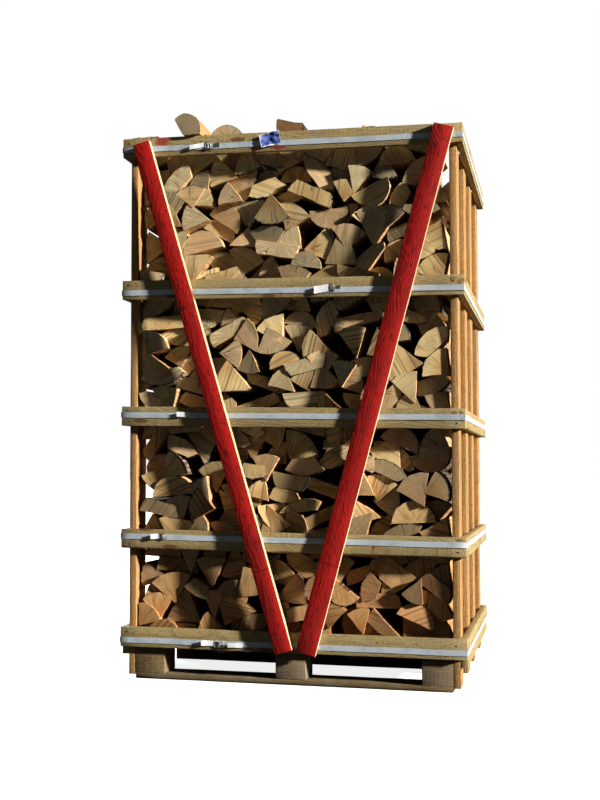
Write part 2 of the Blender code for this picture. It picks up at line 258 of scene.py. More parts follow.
def make_sawn_grain():
    """Sawn softwood: rings, streaks and knots in the board's own coordinates, measured from its pith."""
    inputs = {
        "Grain": (VECTOR, None),
        "Light": (COLOUR, (0.6, 0.44, 0.24, 1)),
        "Dark": (COLOUR, (0.4, 0.26, 0.12, 1)),
        "Knot": (COLOUR, (0.12, 0.06, 0.025, 1)),
        "Knots": (FLOAT, 1.0),
        "Grey": (FLOAT, 0.3),
    }
    for number in range(MARK_COUNT):
        inputs[f"Mark {number + 1}"] = (VECTOR, None)
    group, tree, given, out = new_group(
        "sawn_grain", inputs, {"Color": COLOUR, "Roughness": FLOAT, "Height": FLOAT, "Marked": FLOAT}
    )
    along, across, deep = tree.separate(given["Grain"])[:3]
    long_vector = tree.combine(tree.math("MULTIPLY", along, 1.3), across, deep)
    drift = tree.noise(long_vector, 3.0, 2.0)
    cell = tree.combine(tree.math("MULTIPLY", along, 2.6), tree.math("MULTIPLY", across, 9.0), 0.0)
    spots = tree.add("ShaderNodeTexVoronoi", {"Vector": cell, "Scale": 1.0}, voronoi_dimensions="2D")
    near_knot = spots.outputs["Distance"]
    knot = tree.ramp(near_knot, 0.045, 0.085, 1.0, 0.0)
    knot = tree.math("MULTIPLY", knot, given["Knots"], clamp=True)
    bend = tree.ramp(near_knot, 0.05, 0.30, 1.0, 0.0)
    radius = tree.add("ShaderNodeVectorMath", {0: tree.combine(0.0, across, deep)}, operation="LENGTH")
    radius = radius.outputs["Value"]
    rings = tree.math("MULTIPLY", radius, 1 / 0.0045)
    rings = tree.math("ADD", rings, tree.math("MULTIPLY", drift, 9.0))
    rings = tree.math("ADD", rings, tree.math("MULTIPLY", bend, 2.5))
    wave = tree.math("SINE", tree.math("MULTIPLY", rings, math.tau))
    late = tree.ramp(wave, -0.2, 1.0)
    streak_vector = tree.combine(tree.math("MULTIPLY", along, 2.0), tree.math("MULTIPLY", across, 45.0),
                                 tree.math("MULTIPLY", deep, 45.0))
    streak = tree.ramp(tree.noise(streak_vector, 1.0, 4.0), 0.3, 0.7)
    fibre_vector = tree.combine(tree.math("MULTIPLY", along, 14.0), tree.math("MULTIPLY", across, 420.0),
                                tree.math("MULTIPLY", deep, 420.0))
    fibre = tree.noise(fibre_vector, 1.0, 2.0)
    dark = tree.math("ADD", tree.math("MULTIPLY", late, 0.35), tree.math("MULTIPLY", streak, 0.50))
    dark = tree.math("ADD", dark, tree.math("MULTIPLY", bend, 0.25))
    grit_vector = tree.combine(tree.math("MULTIPLY", along, 0.5), across, deep)
    grit = tree.ramp(tree.noise(grit_vector, 240.0, 3.0, roughness=0.7), 0.40, 0.70, -0.35, 0.60)
    dark = tree.math("ADD", dark, tree.math("MULTIPLY", fibre, 0.15))
    dark = tree.math("ADD", dark, grit, clamp=True)
    colour = tree.mix(dark, given["Light"], given["Dark"])
    blotch = tree.ramp(tree.noise(long_vector, 5.0, 4.0, roughness=0.65), 0.42, 0.72)
    grey = tree.math("MULTIPLY", blotch, given["Grey"], clamp=True)
    colour = tree.mix(grey, colour, (0.20, 0.17, 0.13))
    colour = tree.mix(knot, colour, given["Knot"])
    ragged = tree.ramp(tree.noise(given["Grain"], 260.0, 3.0), 0.2, 0.8, -0.35, 0.35)
    marked = 0.0
    for number in range(MARK_COUNT):
        right, up, red = tree.separate(given[f"Mark {number + 1}"])[:3]
        away = tree.add("ShaderNodeVectorMath", {0: tree.combine(right, up, 0.0)}, operation="LENGTH")
        mark = tree.ramp(tree.math("ADD", away.outputs["Value"], ragged), 0.70, 1.05, 0.85, 0.0)
        colour = tree.mix(mark, colour, tree.mix(red, given["Knot"], (0.22, 0.012, 0.010)))
        marked = tree.math("MAXIMUM", marked, mark)
    saw_phase = tree.math("ADD", tree.math("MULTIPLY", along, 1 / 0.0042), tree.math("MULTIPLY", drift, 2.0))
    saw = tree.math("SINE", tree.math("MULTIPLY", saw_phase, math.tau))
    height = tree.math("ADD", tree.math("MULTIPLY", fibre, 0.6), tree.math("MULTIPLY", late, 0.25))
    height = tree.math("ADD", height, tree.math("MULTIPLY", saw, 0.12))
    height = tree.math("SUBTRACT", height, tree.math("MULTIPLY", knot, 0.5))
    tree.feed(out["Color"], colour)
    tree.feed(out["Roughness"], tree.ramp(streak, 0.0, 1.0, 0.72, 0.88))
    tree.feed(out["Height"], height)
    tree.feed(out["Marked"], marked)
    return group


def make_oak_log():
    """Split oak. Heart is measured from the log's pith, Look holds its tone, its bark and its sawn ends."""
    group, tree, given, out = new_group(
        "oak_log", {"Heart": (VECTOR, None), "Look": (VECTOR, None), "Lower_darkening": (FLOAT, 0.0), "Old": (FLOAT, 0.0)},
        {"Color": COLOUR, "Roughness": FLOAT, "Height": FLOAT},
    )
    tone, bark, end = tree.separate(given["Look"])[:3]
    x, y, z = tree.separate(given["Heart"])[:3]
    seed = tree.math("MULTIPLY", tone, 37.0)
    second_tone = tree.math("FRACT", tree.math("MULTIPLY", tone, 7.31))
    third_tone = tree.math("FRACT", tree.math("MULTIPLY", tone, 23.7))
    weathered = tree.ramp(tree.math("FRACT", tree.math("MULTIPLY", tone, 41.3)), 0.55, 0.9, 0.0, 0.75)
    rosy = tree.ramp(tree.math("FRACT", tree.math("MULTIPLY", tone, 61.7)), 0.60, 0.85, 0.0, 0.6)

    # Sawn end: heart to sapwood, rings, rays, splits, saw marks and stains
    flat = tree.combine(x, 0.0, z)
    radius = tree.add("ShaderNodeVectorMath", {0: flat}, operation="LENGTH").outputs["Value"]
    wander = tree.noise(flat, 14.0, 2.0, seed)
    rings = tree.math("ADD", tree.math("MULTIPLY", radius, 1 / 0.0034), tree.math("MULTIPLY", wander, 5.0))
    ring = tree.ramp(tree.math("SINE", tree.math("MULTIPLY", rings, math.tau)), -0.4, 0.9)
    angle = tree.math("ARCTAN2", z, x)
    bent = tree.math("ADD", tree.math("MULTIPLY", angle, 10.0), tree.math("MULTIPLY", wander, 6.0))
    ray_vector = tree.combine(bent, tree.math("MULTIPLY", radius, 12.0), 0.0)
    ray = tree.noise(ray_vector, 1.0, 4.0, seed, 0.62)
    ray = tree.math("ADD", 0.5, tree.math("MULTIPLY", tree.math("SUBTRACT", ray, 0.5),
                                          tree.ramp(second_tone, 0.2, 0.9, 0.35, 1.0)))
    split_vector = tree.combine(tree.math("MULTIPLY", angle, 2.2), tree.math("MULTIPLY", radius, 5.0), 0.0)
    split_noise = tree.noise(split_vector, 1.0, 3.0, seed)
    split_off = tree.math("ABSOLUTE", tree.math("SUBTRACT", split_noise, 0.5))
    split = tree.ramp(tree.math("MULTIPLY", split_off, radius), 0.0001, 0.0006, 1.0, 0.0)
    split_short = tree.ramp(tree.noise(flat, 11.0, 1.0, tree.math("ADD", seed, 4.0)), 0.59, 0.66)
    split = tree.math("MULTIPLY", split, split_short)
    turn = tree.math("MULTIPLY", second_tone, math.tau)
    saw_line = tree.math("ADD", tree.math("MULTIPLY", x, tree.math("COSINE", turn)),
                         tree.math("MULTIPLY", z, tree.math("SINE", turn)))
    saw_noise = tree.noise(tree.combine(tree.math("MULTIPLY", saw_line, 130.0), 0.0, 0.0), 1.0, 3.0, seed)
    stain = tree.ramp(tree.noise(flat, 17.0, 3.0, seed, 0.6), 0.45, 0.75)
    heart_colour = tree.mix(third_tone, (0.46, 0.26, 0.09), (0.56, 0.39, 0.17))
    sap_colour = tree.mix(second_tone, (0.74, 0.56, 0.27), (0.56, 0.44, 0.21))
    end_colour = tree.mix(tree.ramp(radius, 0.02, 0.09), heart_colour, sap_colour)
    end_colour = tree.mix(rosy, end_colour, (0.60, 0.38, 0.22))
    end_colour = tree.mix(weathered, end_colour, (0.36, 0.32, 0.20))
    end_colour = tree.mix(tree.math("MULTIPLY", ring, 0.20), end_colour, (0.25, 0.16, 0.075))
    end_colour = tree.mix(tree.ramp(ray, 0.52, 0.68, 0.0, 0.50), end_colour, (0.86, 0.70, 0.42))
    end_colour = tree.mix(tree.ramp(ray, 0.34, 0.47, 0.78, 0.0), end_colour, (0.17, 0.105, 0.045))
    streaks = tree.math("MULTIPLY", tree.ramp(saw_noise, 0.48, 0.62), tree.ramp(second_tone, 0.1, 0.7, 0.80, 0.15))
    end_colour = tree.mix(streaks, end_colour, (0.16, 0.115, 0.06))
    end_colour = tree.mix(tree.math("MULTIPLY", stain, 0.35), end_colour, (0.19, 0.145, 0.095))
    end_colour = tree.mix(tree.math("MULTIPLY", split, 0.75), end_colour, (0.03, 0.02, 0.012))

    # Split side: long torn fibres
    fibre_vector = tree.combine(tree.math("MULTIPLY", x, 150.0), tree.math("MULTIPLY", y, 7.0),
                                tree.math("MULTIPLY", z, 150.0))
    fibre = tree.noise(fibre_vector, 1.0, 4.0, seed)
    side_blotch = tree.noise(tree.combine(x, tree.math("MULTIPLY", y, 0.35), z), 16.0, 3.0, seed)
    side_light = tree.mix(third_tone, (0.60, 0.38, 0.16), (0.54, 0.37, 0.20))
    side_colour = tree.mix(tree.ramp(fibre, 0.35, 0.7), side_light, (0.31, 0.165, 0.065))
    side_colour = tree.mix(tree.ramp(side_blotch, 0.5, 0.75, 0.0, 0.6), side_colour, (0.22, 0.16, 0.11))

    # Bark: dark plates with cracks along the log
    bark_vector = tree.combine(tree.math("MULTIPLY", x, 60.0), tree.math("MULTIPLY", y, 17.0),
                               tree.math("MULTIPLY", z, 60.0))
    plates = tree.add("ShaderNodeTexVoronoi", {"Vector": bark_vector, "Scale": 1.0},
                      feature="DISTANCE_TO_EDGE").outputs["Distance"]
    plate = tree.ramp(plates, 0.02, 0.28)
    moss = tree.noise(tree.combine(x, y, z), 25.0, 3.0, seed)
    bark_colour = tree.mix(plate, (0.045, 0.03, 0.02), (0.21, 0.155, 0.105))
    bark_colour = tree.mix(tree.ramp(moss, 0.5, 0.75, 0.0, 0.5), bark_colour, (0.30, 0.28, 0.22))

    colour = tree.mix(end, side_colour, end_colour)
    colour = tree.mix(bark, colour, bark_colour)
    shade = tree.ramp(tone, 0.0, 1.0, 0.66, 1.10)
    colour = tree.mix(1.0, colour, tree.combine(shade, shade, shade), "MULTIPLY")
    # Colour darkened and made more orange towards the bottom of the stack
    colour = tree.mix(given["Lower_darkening"], colour, (0.72, 0.50, 0.38), "MULTIPLY")
    # Colour darkened for the loose logs on top
    colour = tree.mix(given["Old"], colour, (0.32, 0.23, 0.17), "MULTIPLY")
    end_height = tree.math("ADD", tree.math("MULTIPLY", saw_noise, 0.5), tree.math("MULTIPLY", ring, 0.12))
    end_height = tree.math("SUBTRACT", end_height, tree.math("MULTIPLY", split, 1.5))
    side_height = tree.math("MULTIPLY", fibre, 1.6)
    height = tree.math("ADD", tree.math("MULTIPLY", end_height, end),
                       tree.math("MULTIPLY", side_height, tree.math("SUBTRACT", 1.0, end)))
    height = tree.math("ADD", height, tree.math("MULTIPLY", tree.math("MULTIPLY", plate, bark), 3.0))
    tree.feed(out["Color"], colour)
    tree.feed(out["Roughness"], tree.ramp(bark, 0.0, 1.0, 0.82, 0.93))
    tree.feed(out["Height"], height)
    return group


def new_material(name):
    material = bpy.data.materials.new(name)
    material.use_nodes = True
    tree = Tree(material.node_tree.nodes, material.node_tree.links)
    shader = material.node_tree.nodes["Principled BSDF"]
    return material, tree, shader


def attribute(tree, name):
    return tree.add("ShaderNodeAttribute", attribute_name=name).outputs["Vector"]


def bump(tree, shader, height, distance, strength=1.0):
    inputs = {"Height": height, "Distance": distance, "Strength": strength}
    tree.feed(shader.inputs["Normal"], tree.add("ShaderNodeBump", inputs).outputs[0])


def use_group(tree, group, inputs):
    node = tree.add("ShaderNodeGroup", node_tree=group)
    for label, value in inputs.items():
        tree.feed(node.inputs[label], value)
    return node.outputs


def board_inputs(tree):
    """What every board's mesh tells its grain: where each point is in the plank, and where its marks are."""
    inputs = {"Grain": attribute(tree, "grain")}
    for number in range(MARK_COUNT):
        inputs[f"Mark {number + 1}"] = attribute(tree, f"mark_{number + 1}")
    return inputs


def make_pine(name, grain_group, light, dark, knots, grey):
    material, tree, shader = new_material(name)
    inputs = {"Light": light, "Dark": dark, "Knots": knots, "Grey": grey, **board_inputs(tree)}
    looks = use_group(tree, grain_group, inputs)
    tree.feed(shader.inputs["Base Color"], looks["Color"])
    tree.feed(shader.inputs["Roughness"], looks["Roughness"])
    shader.inputs["Specular IOR Level"].default_value = 0.25
    bump(tree, shader, looks["Height"], 0.0012)
    return material


def make_red_paint(grain_group):
    """Paint rolled on the face of a rough board; its edges stay bare."""
    material, tree, shader = new_material("red_paint")
    inputs = {"Light": (0.60, 0.46, 0.27), "Dark": (0.42, 0.28, 0.14), "Grey": 0.2, **board_inputs(tree)}
    wood = use_group(tree, grain_group, inputs)
    painted = tree.separate(attribute(tree, "painted"))[0]
    along, across, deep = tree.separate(inputs["Grain"])[:3]
    patch_vector = tree.combine(tree.math("MULTIPLY", along, 5.0), tree.math("MULTIPLY", across, 26.0), deep)
    patch = tree.noise(patch_vector, 1.0, 4.0)
    fleck_vector = tree.combine(tree.math("MULTIPLY", along, 40.0), tree.math("MULTIPLY", across, 150.0), deep)
    fleck = tree.ramp(tree.noise(fleck_vector, 1.0, 3.0, roughness=0.65), 0.50, 0.66)
    thin = tree.ramp(patch, 0.40, 0.72)
    red = tree.mix(thin, (0.33, 0.0085, 0.0060), (0.20, 0.0055, 0.0045))
    red = tree.mix(tree.math("MULTIPLY", fleck, 0.75), red, (0.07, 0.003, 0.003))
    red = tree.mix(tree.math("MULTIPLY", wood["Marked"], 0.8), red, (0.05, 0.003, 0.003))
    edge = tree.ramp(tree.math("ADD", painted, tree.math("MULTIPLY", patch, 0.5)), 0.55, 0.75)
    colour = tree.mix(edge, wood["Color"], red)
    tree.feed(shader.inputs["Base Color"], colour)
    tree.feed(shader.inputs["Roughness"], tree.ramp(thin, 0.0, 1.0, 0.55, 0.75))
    shader.inputs["Specular IOR Level"].default_value = 0.15
    bump(tree, shader, wood["Height"], 0.0012)
    return material


def make_oak(name, log_group, darkening):
    material, tree, shader = new_material(name)
    height = tree.separate(tree.add("ShaderNodeTexCoord").outputs["Object"])[2]
    # How much the colour darkens towards the bottom of the stack
    low_darkening = tree.ramp(height, *LOW_DARKENING_HEIGHTS, 0.9, 0.0)
    inputs = {"Heart": attribute(tree, "heart"), "Look": attribute(tree, "look"), "Lower_darkening": low_darkening, "Old": darkening}
    looks = use_group(tree, log_group, inputs)
    tree.feed(shader.inputs["Base Color"], looks["Color"])
    tree.feed(shader.inputs["Roughness"], looks["Roughness"])
    shader.inputs["Specular IOR Level"].default_value = 0.2
    bump(tree, shader, looks["Height"], 0.0016)
    return material


def make_plastic(name, light, dark, roughness):
    """Woven-pattern packing strap: fine diamonds pressed into it, and dust."""
    material, tree, shader = new_material(name)
    place = tree.add("ShaderNodeTexCoord").outputs["Object"]
    dust = tree.ramp(tree.noise(place, 22.0, 4.0), 0.42, 0.7)
    tree.feed(shader.inputs["Base Color"], tree.mix(dust, light, dark))
    tree.feed(shader.inputs["Roughness"], tree.ramp(dust, 0.0, 1.0, roughness, roughness + 0.25))
    x, y, z = tree.separate(place)[:3]
    run = tree.math("ADD", x, y)
    first = tree.math("SINE", tree.math("MULTIPLY", tree.math("ADD", run, z), math.tau / 0.003))
    second = tree.math("SINE", tree.math("MULTIPLY", tree.math("SUBTRACT", run, z), math.tau / 0.003))
    bump(tree, shader, tree.math("MULTIPLY", first, second), 0.0002)
    return material


def make_film():
    """Blue plastic film, torn and folded, with white edges."""
    material, tree, shader = new_material("blue_plastic")
    place = tree.add("ShaderNodeTexCoord").outputs["Object"]
    edge = tree.separate(attribute(tree, "edge"))[0]
    wrinkle = tree.noise(place, 60.0, 3.0)
    white = tree.ramp(tree.math("ADD", edge, tree.math("MULTIPLY", wrinkle, 0.4)), 1.04, 1.12)
    blue = tree.mix(tree.ramp(wrinkle, 0.35, 0.65), (0.035, 0.060, 0.27), (0.10, 0.16, 0.46))
    tree.feed(shader.inputs["Base Color"], tree.mix(white, blue, (0.60, 0.64, 0.72)))
    tree.feed(shader.inputs["Roughness"], tree.ramp(wrinkle, 0.3, 0.7, 0.25, 0.45))
    bump(tree, shader, wrinkle, 0.0015)
    return material


def make_metal(name, colour, dark, roughness):
    material, tree, shader = new_material(name)
    place = tree.add("ShaderNodeTexCoord").outputs["Object"]
    worn = tree.ramp(tree.noise(place, 140.0, 3.0), 0.4, 0.7)
    tree.feed(shader.inputs["Base Color"], tree.mix(worn, colour, dark))
    tree.feed(shader.inputs["Roughness"], tree.ramp(worn, 0.0, 1.0, roughness, roughness + 0.3))
    shader.inputs["Metallic"].default_value = 1.0
    bump(tree, shader, worn, 0.0002)
    return material


# Pieces

def show(name, shape, material, nodes=()):
    """Hand a finished shape to the frame as one piece."""
    mesh = bpy.data.meshes.new(name)
    shape.to_mesh(mesh)
    shape.free()
    mesh.materials.append(material)
    piece = bpy.data.objects.new(name, mesh)
    bpy.context.collection.objects.link(piece)
    mesh.shade_smooth()
    mesh.set_sharp_from_angle(angle=math.radians(32))
    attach(piece, "root")
    if nodes:
        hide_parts(*nodes)
    return piece


def level_tilt(node):
    """How far a rail or a strap rises per metre to the right."""
    if node.startswith(("rail", "strap")):
        return RAIL_TILTS[int(node[-1]) - 1]
    return 0.0


def upright_box(node):
    """A board's middle, and its size before its level tilted and the crate leaned."""
    low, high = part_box(node)
    size = high - low
    size.z -= abs(level_tilt(node)) * size.x
    size.x -= LEAN * size.z
    return (low + high) / 2, size


AXIS = {"x": 0, "y": 1, "z": 2}
UPRIGHT = Matrix.Rotation(math.radians(90), 4, "X")
NO_MARK = 99.0


def sawn_board(size, run, draw, marks=(), wane=0.0, warp=0.0012):
    """A rough board about its own middle: eased arrises, a slight warp, its grain and its marks."""
    along = AXIS[run]
    shape = bmesh.new()
    bmesh.ops.create_cube(shape, size=1.0)
    bmesh.ops.scale(shape, verts=shape.verts, vec=size)
    for number in range(MARK_COUNT):
        shape.verts.layers.float_vector.new(f"mark_{number + 1}")
    grain = shape.verts.layers.float_vector.new("grain")
    mark_layers = [shape.verts.layers.float_vector[f"mark_{number + 1}"] for number in range(MARK_COUNT)]
    others = [axis for axis in range(3) if axis != along]
    others.sort(key=lambda axis: -size[axis])
    long_edges = [edge for edge in shape.edges
                  if abs(edge.verts[0].co[along] - edge.verts[1].co[along]) > size[along] / 2]
    if wane:
        lowest = min(long_edges, key=lambda edge: edge.verts[0].co.z + 0.5 * edge.verts[0].co.y)
        bmesh.ops.bevel(shape, geom=[lowest], offset=wane, segments=3, profile=0.5, affect="EDGES", material=-1)
        long_edges = [edge for edge in shape.edges
                      if abs(edge.verts[0].co[along] - edge.verts[1].co[along]) > size[along] / 2]
    cuts = max(1, round(size[along] / 0.075))
    bmesh.ops.subdivide_edges(shape, edges=long_edges, cuts=cuts, use_grid_fill=True)
    shape.normal_update()
    arrises = [edge for edge in shape.edges if edge.calc_face_angle(0.0) > math.radians(40)]
    bmesh.ops.bevel(shape, geom=arrises, offset=0.0016, segments=2, profile=0.5, affect="EDGES", material=-1)
    pith = (draw.uniform(-0.03, 0.03), draw.uniform(0.03, 0.12))
    start = draw.uniform(0, 40)
    drift = Vector((draw.uniform(0, 50), draw.uniform(0, 50), draw.uniform(0, 50)))
    for vertex in shape.verts:
        place = vertex.co
        vertex[grain] = (place[along] + start, place[others[0]] + pith[0], place[others[1]] + pith[1])
        for number, layer in enumerate(mark_layers):
            vertex[layer] = (NO_MARK, NO_MARK, 0.0)
            if number < len(marks):
                right, up, half_width, half_height, red = marks[number]
                vertex[layer] = ((place.x - right) / half_width, (place.z - up) / half_height, red)
        rough = noise.noise_vector(place * 9 + drift) * warp + noise.noise_vector(place * 45 + drift) * 0.0005
        rough[along] = 0.0
        inward = [min(0.0, rough[axis]) if place[axis] > 0 else max(0.0, rough[axis]) for axis in range(3)]
        vertex.co += Vector(inward)
    return shape


def stand(shape, middle, tilt=0.0):
    """Tilt and lean a board made about its own middle, and put it in its place."""
    for vertex in shape.verts:
        vertex.co.z += tilt * vertex.co.x
        vertex.co.x -= LEAN * vertex.co.z
    bmesh.ops.translate(shape, verts=shape.verts, vec=middle)


WANES = {"rail_front_2": 0.007, "rail_right_3": 0.010, "rail_back_3": 0.012,
         "rail_left_4": 0.008, "skid_front": 0.010, "rail_back_5": 0.009}


def make_boards(materials):
    draw = random.Random(5)
    runs = {"skid": "x", "block": "x", "stringer": "y", "deck": "x", "slat": "z", "rail_front": "x",
            "rail_back": "x", "rail_left": "y", "rail_right": "y"}
    for node in sorted(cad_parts):
        family = next((start for start in runs if node.startswith(start)), None)
        if family is None:
            continue
        slot = "pallet_pine" if family in ("skid", "block", "stringer", "deck") else "bare_pine"
        wood = "slat_pine" if family == "slat" else slot
        middle, size = upright_box(node)
        shape = sawn_board(size, runs[family], draw, MARKS.get(node, ()), WANES.get(node, 0.0))
        stand(shape, middle, level_tilt(node))
        show(f"{node}_board", shape, materials[wood], [node])


BRACES = {
    "brace_left": ((-0.012, 0.113), (-0.503, 1.798), 0.058, 0.026),
    "brace_right": ((0.058, 0.110), (0.517, 1.816), 0.066, 0.020),
}


def make_braces(material):
    draw = random.Random(8)
    for node, (foot, head, width, thickness) in BRACES.items():
        run = Vector((head[0] - foot[0], 0, head[1] - foot[1]))
        shape = sawn_board(Vector((width, thickness, run.length)), "z", draw, MARKS[node], warp=0.0008)
        painted = shape.verts.layers.float_vector.new("painted")
        shape.normal_update()
        for vertex in shape.verts:
            vertex[painted] = (max(0.0, -vertex.normal.y), 0.0, 0.0)
        slant = Matrix.Rotation(math.atan2(run.x, run.z), 3, "Y")
        bmesh.ops.rotate(shape, verts=shape.verts, matrix=slant)
        low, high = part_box(node)
        stand(shape, (low + high) / 2)
        show(f"{node}_board", shape, material, [node])


# Straps and what fastens them

def make_straps(material):
    """Flat bands that bend round the corners and sit a little unevenly."""
    for level in range(len(RAIL_TOPS)):
        node = f"strap_{level + 1}"
        middle, size = upright_box(node)
        shape = bmesh.new()
        bmesh.ops.create_cube(shape, size=1.0)
        bmesh.ops.scale(shape, verts=shape.verts, vec=size)
        shape.normal_update()
        ends = [face for face in shape.faces if abs(face.normal.z) > 0.5]
        bmesh.ops.inset_individual(shape, faces=ends, thickness=STRAP_THICKNESS)
        openings = [edge for face in ends for edge in face.edges]
        bmesh.ops.delete(shape, geom=ends, context="FACES_ONLY")
        bmesh.ops.bridge_loops(shape, edges=openings)
        corners = [edge for edge in shape.edges if abs(edge.verts[0].co.z - edge.verts[1].co.z) > size.z / 2]
        bmesh.ops.bevel(shape, geom=corners, offset=0.001, segments=2, profile=0.5, affect="EDGES", material=-1)
        runs = [edge for edge in shape.edges if edge.calc_length() > DEPTH / 2]
        bmesh.ops.subdivide_edges(shape, edges=runs, cuts=30, use_grid_fill=True)
        for vertex in shape.verts:
            place = vertex.co
            place.z += 0.0014 * noise.noise(Vector((place.x * 5, place.y * 5, level)))
            off = 0.0004 * (1 + noise.noise(Vector((place.x * 14, place.y * 14, level + 9))))
            if abs(place.x) / size.x > abs(place.y) / size.y:
                place.x += math.copysign(off, place.x)
            else:
                place.y += math.copysign(off, place.y)
        stand(shape, middle, level_tilt(node))
        show(f"{node}_band", shape, material, [node])


def on_strap(node, across, up):
    """A point on the front of a strap, before the crate leaned."""
    level = int(node[-1]) - 1
    middle = RAIL_TOPS[level] - STRAP_DROPS[level] * RAIL_HEIGHT
    return Vector((across, -DEPTH / 2 - STRAP_THICKNESS - 3 * TOUCH, middle + RAIL_TILTS[level] * across + up))


def join_tail(trim, node, start, end, start_up, end_up, width, lifted):
    """A loose end of strap: it lifts off at one end and has a fold in it."""
    tail = bmesh.new()
    bmesh.ops.create_grid(tail, x_segments=10, y_segments=2, size=0.5, matrix=UPRIGHT)
    for vertex in tail.verts:
        run = vertex.co.x + 0.5
        lift = (1 - run if lifted < 0 else run) ** 1.5
        fold = 0.0012 * math.sin(7 * run + 40 * start)
        up = start_up + (end_up - start_up) * run + vertex.co.z * width
        place = on_strap(node, start + (end - start) * run, up)
        place.y -= 0.0015 + TAIL_LIFT * lift + fold * lift + 0.10 * lift * vertex.co.z * width
        vertex.co = out_of_plumb(place)
    bmesh.ops.solidify(tail, geom=tail.faces[:], thickness=TAIL_THICKNESS)
    bmesh.ops.recalc_face_normals(tail, faces=tail.faces)
    join(trim, tail)


def join_buckle(trim, node, across, up, width, height):
    """A bent wire buckle with a bar across it."""
    middle = out_of_plumb(on_strap(node, across, up)) - Vector((0, WIRE / 2 + 0.001, 0))
    buckle = bmesh.new()
    bmesh.ops.create_cube(buckle, size=1.0)
    bmesh.ops.scale(buckle, verts=buckle.verts, vec=(width, WIRE, height))
    buckle.normal_update()
    ends = [face for face in buckle.faces if abs(face.normal.y) > 0.5]
    bmesh.ops.inset_individual(buckle, faces=ends, thickness=WIRE)
    openings = [edge for face in ends for edge in face.edges]
    bmesh.ops.delete(buckle, geom=ends, context="FACES_ONLY")
    bmesh.ops.bridge_loops(buckle, edges=openings)
    bmesh.ops.recalc_face_normals(buckle, faces=buckle.faces)
    bmesh.ops.bevel(buckle, geom=buckle.edges[:], offset=WIRE * 0.3, segments=2, profile=0.5, affect="EDGES",
                    material=-1)
    bmesh.ops.rotate(buckle, verts=buckle.verts, matrix=Matrix.Rotation(math.radians(-8), 3, "Z"))
    bmesh.ops.translate(buckle, verts=buckle.verts, vec=middle)
    join(trim, buckle)
    bar = bmesh.new()
    bmesh.ops.create_cone(bar, cap_ends=True, segments=10, radius1=WIRE / 2, radius2=WIRE / 2, depth=height * 0.96,
                          matrix=Matrix.Translation(middle))
    join(trim, bar)


def join(trim, shape):
    """Add a finished shape to the trim that it belongs to."""
    mesh = bpy.data.meshes.new("trim")
    shape.to_mesh(mesh)
    shape.free()
    trim.from_mesh(mesh)
    bpy.data.meshes.remove(mesh)


def make_fastenings(materials):
    tails = bmesh.new()
    for node, ends in TAILS.items():
        for tail in ends:
            join_tail(tails, node, *tail)
    show("strap_tails", tails, materials["tail"])
    buckles = bmesh.new()
    for node, buckle in BUCKLES.items():
        join_buckle(buckles, node, *buckle)
    show("strap_buckles", buckles, materials["buckle"])


def make_blue_film(material):
    """A scrap of film folded over the top strap."""
    film = bmesh.new()
    bmesh.ops.create_grid(film, x_segments=16, y_segments=12, size=0.5, matrix=UPRIGHT)
    edge = film.verts.layers.float_vector.new("edge")
    across, drop = FILM_PLACE
    slant = Matrix.Rotation(math.radians(-FILM_SLANT), 3, "Y")
    for vertex in film.verts:
        place = vertex.co
        rim = max(abs(place.x), abs(place.z)) * 2
        vertex[edge] = (rim, 0.0, 0.0)
        ragged = 1 + 0.10 * noise.noise(place * 6) * rim
        flat = slant @ Vector((place.x * FILM_SIZE[0] * ragged, 0, place.z * FILM_SIZE[1] * ragged))
        crease = noise.noise(place * 3.4) * 0.5 + abs(place.x + 0.4 * place.z) * 0.8
        height = RAIL_TOPS[-1] + RAIL_TILTS[-1] * across - drop
        off = 0.003 + 0.010 * max(0.0, crease)
        vertex.co = out_of_plumb((across + flat.x, -DEPTH / 2 - STRAP_THICKNESS - off, height + flat.z))
    bmesh.ops.solidify(film, geom=film.faces[:], thickness=TAIL_THICKNESS)
    bmesh.ops.recalc_face_normals(film, faces=film.faces)
    show("blue_film", film, material)


def make_chips(material):
    """Slivers of oak left on the front top rail."""
    draw = random.Random(31)
    chips = bmesh.new()
    heart = chips.verts.layers.float_vector.new("heart")
    look = chips.faces.layers.float_vector.new("look")
    for across, length in CHIPS:
        known = set(chips.verts)
        bmesh.ops.create_cone(chips, cap_ends=True, segments=5, radius1=0.5, radius2=0.22, depth=1.0)
        verts = [vertex for vertex in chips.verts if vertex not in known]
        bmesh.ops.rotate(chips, verts=verts, matrix=Matrix.Rotation(math.radians(90), 3, "Y"))
        bmesh.ops.scale(chips, verts=verts, vec=(length, 0.013, CHIP_THICKNESS * draw.uniform(0.8, 1.5)))
        bmesh.ops.rotate(chips, verts=verts, matrix=Matrix.Rotation(draw.uniform(-0.5, 0.5), 3, "Z"))
        lowest = min(vertex.co.z for vertex in verts)
        height = RAIL_TOPS[-1] + RAIL_TILTS[-1] * across + TOUCH
        drift = draw.uniform(0, 9)
        for vertex in verts:
            vertex[heart] = vertex.co + Vector((0.05, drift, 0.02))
            place = vertex.co + Vector((across, -DEPTH / 2 + draw.uniform(0.009, 0.012), height - lowest))
            vertex.co = out_of_plumb(place)
        for face in {face for vertex in verts for face in vertex.link_faces}:
            face[look] = (drift / 9, 0.0, 0.0)
    show("wood_chips", chips, material)


